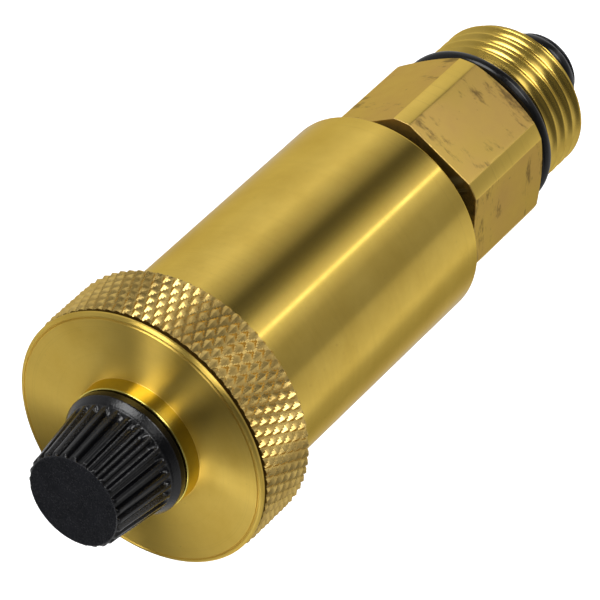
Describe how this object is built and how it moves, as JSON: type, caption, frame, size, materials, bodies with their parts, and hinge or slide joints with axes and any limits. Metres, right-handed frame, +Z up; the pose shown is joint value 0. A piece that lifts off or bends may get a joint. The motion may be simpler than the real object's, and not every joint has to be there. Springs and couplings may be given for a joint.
{
  "type": "automatic air vent",
  "caption": "Automatic air vent for heating pipework: brass float barrel with a knurled lid and ribbed black cap, on a hexagonal self-closing shut-off valve with a pipe thread.",
  "frame": {"origin": "on the axis, at the shoulder under the hexagon, in the plane where the inlet thread's seal ring sits", "axes": "+Z up along the axis, from the inlet thread towards the cap, as the vent is installed; the hexagon's corners lie along +X and -X and two of its flats face +Y and -Y"},
  "size_m": [0.0342, 0.0342, 0.1001],
  "materials": {
    "polished_brass": "turned and polished",
    "raw_brass": "drawn bar, matte and stained",
    "steel": "bright",
    "black_plastic": "moulded, satin",
    "black_rubber": "smooth",
    "white_plastic": "satin"
  },
  "bodies": {
    "shutoff_valve": {"shutoff_body": "raw_brass", "base_seal_ring": "black_rubber", "plunger_spring": "steel"},
    "plunger": {"shutoff_plunger": "black_plastic", "plunger_seal_ring": "black_rubber", "plunger_spring_cup": "polished_brass", "plunger_clip": "steel"},
    "vent_seal": {"body_seal_ring": "black_rubber"},
    "vent": {"vent_body": "polished_brass"},
    "lid_seal": {"lid_seal_ring": "black_rubber"},
    "lid": {"knurled_lid": "polished_brass", "valve_nozzle": "polished_brass", "nozzle_seal_ring": "black_rubber", "lever_bracket": "steel", "lever_pin": "steel"},
    "lever": {"valve_lever": "steel", "valve_pad": "black_rubber"},
    "float": {"float": "white_plastic", "float_hook": "steel"},
    "cap_seal": {"cap_washer": "black_rubber"},
    "cap": {"vent_cap": "black_plastic"}
  },
  "joints": [
    {"name": "vent_turn", "type": "hinge", "parent": "vent_seal", "child": "vent", "pos_m": [0, 0, 0.0178], "axis": [0, 0, 1], "range_deg": [0, 889]},
    {"name": "vent_rise", "type": "slide", "parent": "shutoff_valve", "child": "vent_seal", "axis": [0, 0, 1], "range_m": [0, 0.0033]},
    {"name": "plunger_slide", "type": "slide", "parent": "shutoff_valve", "child": "plunger", "axis": [0, 0, 1], "range_m": [0, 0.0033], "deforming": ["plunger_spring"]},
    {"name": "lid_turn", "type": "hinge", "parent": "lid_seal", "child": "lid", "pos_m": [0, 0, 0.06595], "axis": [0, 0, 1], "range_deg": [0, 1585]},
    {"name": "lid_rise", "type": "slide", "parent": "vent", "child": "lid_seal", "axis": [0, 0, 1], "range_m": [0, 0.0044]},
    {"name": "cap_turn", "type": "hinge", "parent": "cap_seal", "child": "cap", "pos_m": [0, 0, 0.0776], "axis": [0, 0, 1], "range_deg": [0, 1801]},
    {"name": "cap_rise", "type": "slide", "parent": "lid", "child": "cap_seal", "axis": [0, 0, 1], "range_m": [0, 0.005]},
    {"name": "float_slide", "type": "slide", "parent": "lid", "child": "float", "axis": [0, 0, 1], "range_m": [0, 0.0025]},
    {"name": "lever_tilt", "type": "hinge", "parent": "lid", "child": "lever", "pos_m": [-0.007, 0, 0.06], "axis": [0, -1, 0], "range_deg": [0, 11.1]}
  ],
  "couplings": [
    {"joint": "vent_turn", "follows": "vent_rise", "rad_per_m": 4699.5},
    {"joint": "plunger_slide", "follows": "vent_rise", "ratio": 1},
    {"joint": "lid_turn", "follows": "lid_rise", "rad_per_m": 6283.2},
    {"joint": "cap_turn", "follows": "cap_rise", "rad_per_m": 6283.2},
    {"joint": "lever_tilt", "follows": "float_slide", "rad_per_m": 77.42}
  ]
}
